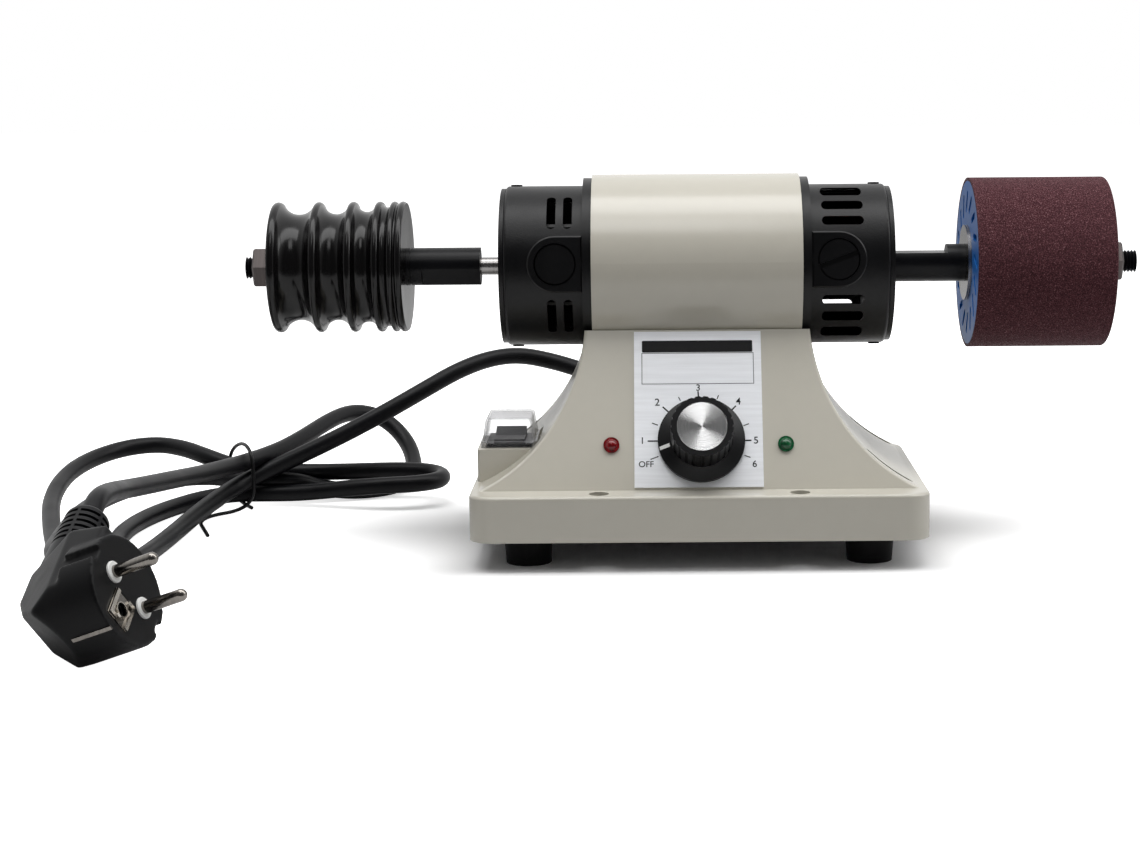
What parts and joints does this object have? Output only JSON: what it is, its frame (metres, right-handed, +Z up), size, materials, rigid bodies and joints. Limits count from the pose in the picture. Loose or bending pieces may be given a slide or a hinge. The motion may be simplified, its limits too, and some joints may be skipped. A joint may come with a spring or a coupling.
{
  "type": "bench burnishing machine",
  "caption": "Double-ended bench motor on a flared base with a speed knob, a grooved edge-burnishing wheel on one side and an abrasive drum on the other.",
  "frame": {"origin": "on the bench under the middle of the base", "axes": "+X along the spindle towards the abrasive drum, -Y towards the control panel, +Z up"},
  "size_m": [0.5135, 0.3997, 0.166],
  "materials": {
    "painted_grey": "orange-peel powder coat",
    "plate_steel": "zinc plated",
    "bright_steel": "machined",
    "black_steel": "black oxide",
    "core_steel": "laminated",
    "foot_rubber": "matt",
    "panel_silver": "satin print",
    "cap_aluminium": "spun",
    "black_plastic": "fine grain",
    "white_plastic": "plain",
    "red_lens": "clear red",
    "green_lens": "clear green",
    "clear_boot": "soft clear vinyl",
    "board_green": "solder mask",
    "nylon": "moulded",
    "copper": "enamelled wire",
    "brass": "turned",
    "carbon": "pressed carbon",
    "dark_wood": "polished",
    "blue_plastic": "moulded",
    "abrasive_brown": "coated grit",
    "cord_black": "satin",
    "nickel": "bright"
  },
  "bodies": {
    "base": {"base_housing": "painted_grey", "bottom_plate": "plate_steel", "plate_screws": "bright_steel", "rubber_feet": "foot_rubber", "foot_screws": "bright_steel", "face_plate": "panel_silver", "pot_body": "core_steel", "pot_nut": "bright_steel", "red_lamp": "red_lens", "green_lamp": "green_lens", "switch_body": "black_plastic", "switch_boot": "clear_boot", "board_standoffs": "nylon", "control_board": "board_green", "heat_sink": "cap_aluminium", "motor_barrel": "painted_grey", "left_bell": "black_plastic", "right_bell": "black_plastic", "end_covers": "black_plastic", "bell_screws": "black_steel", "brush_holders": "brass", "carbon_brushes": "carbon", "brush_springs": "bright_steel", "brush_caps": "black_plastic", "blank_plugs": "black_plastic", "stator_core": "core_steel", "field_coils": "copper", "saddle_bolts": "bright_steel", "bearing_outer_rings": "bright_steel", "bearing_balls": "bright_steel", "cord_gland": "cord_black", "power_lead": "cord_black", "plug_lead": "cord_black", "plug_body": "cord_black", "plug_pins": "nickel", "earth_plate": "nickel", "plug_boot": "cord_black", "cord_hank": "cord_black", "cord_tie": "cord_black"},
    "spindle": {"motor_shaft": "bright_steel", "armature_core": "core_steel", "armature_windings": "copper", "commutator": "copper", "cooling_fan": "black_plastic", "bearing_inner_rings": "bright_steel", "left_arbor": "black_steel", "right_arbor": "black_steel", "grub_screws": "black_steel", "burnishing_wheel": "dark_wood", "drum_hub": "blue_plastic", "abrasive_sleeve": "abrasive_brown", "drum_disc": "bright_steel", "spindle_washers": "bright_steel", "spindle_nuts": "bright_steel"},
    "knob": {"speed_knob": "black_plastic", "knob_cap": "cap_aluminium", "knob_pointer": "white_plastic", "pot_shaft": "bright_steel"},
    "rocker": {"switch_rocker": "black_plastic"}
  },
  "joints": [
    {"name": "spindle_spin", "type": "hinge", "parent": "base", "child": "spindle", "pos_m": [0, 0.015, 0.125], "axis": [1, 0, 0], "continuous": true},
    {"name": "knob_turn", "type": "hinge", "parent": "base", "child": "knob", "pos_m": [0.0012, -0.04113, 0.05296], "axis": [0, -0.8936, 0.4488], "range_deg": [-213, 7]},
    {"name": "rocker_tip", "type": "hinge", "parent": "base", "child": "rocker", "pos_m": [-0.0839, -0.01, 0.0478], "axis": [1, 0, 0], "range_deg": [-18, 0]}
  ]
}
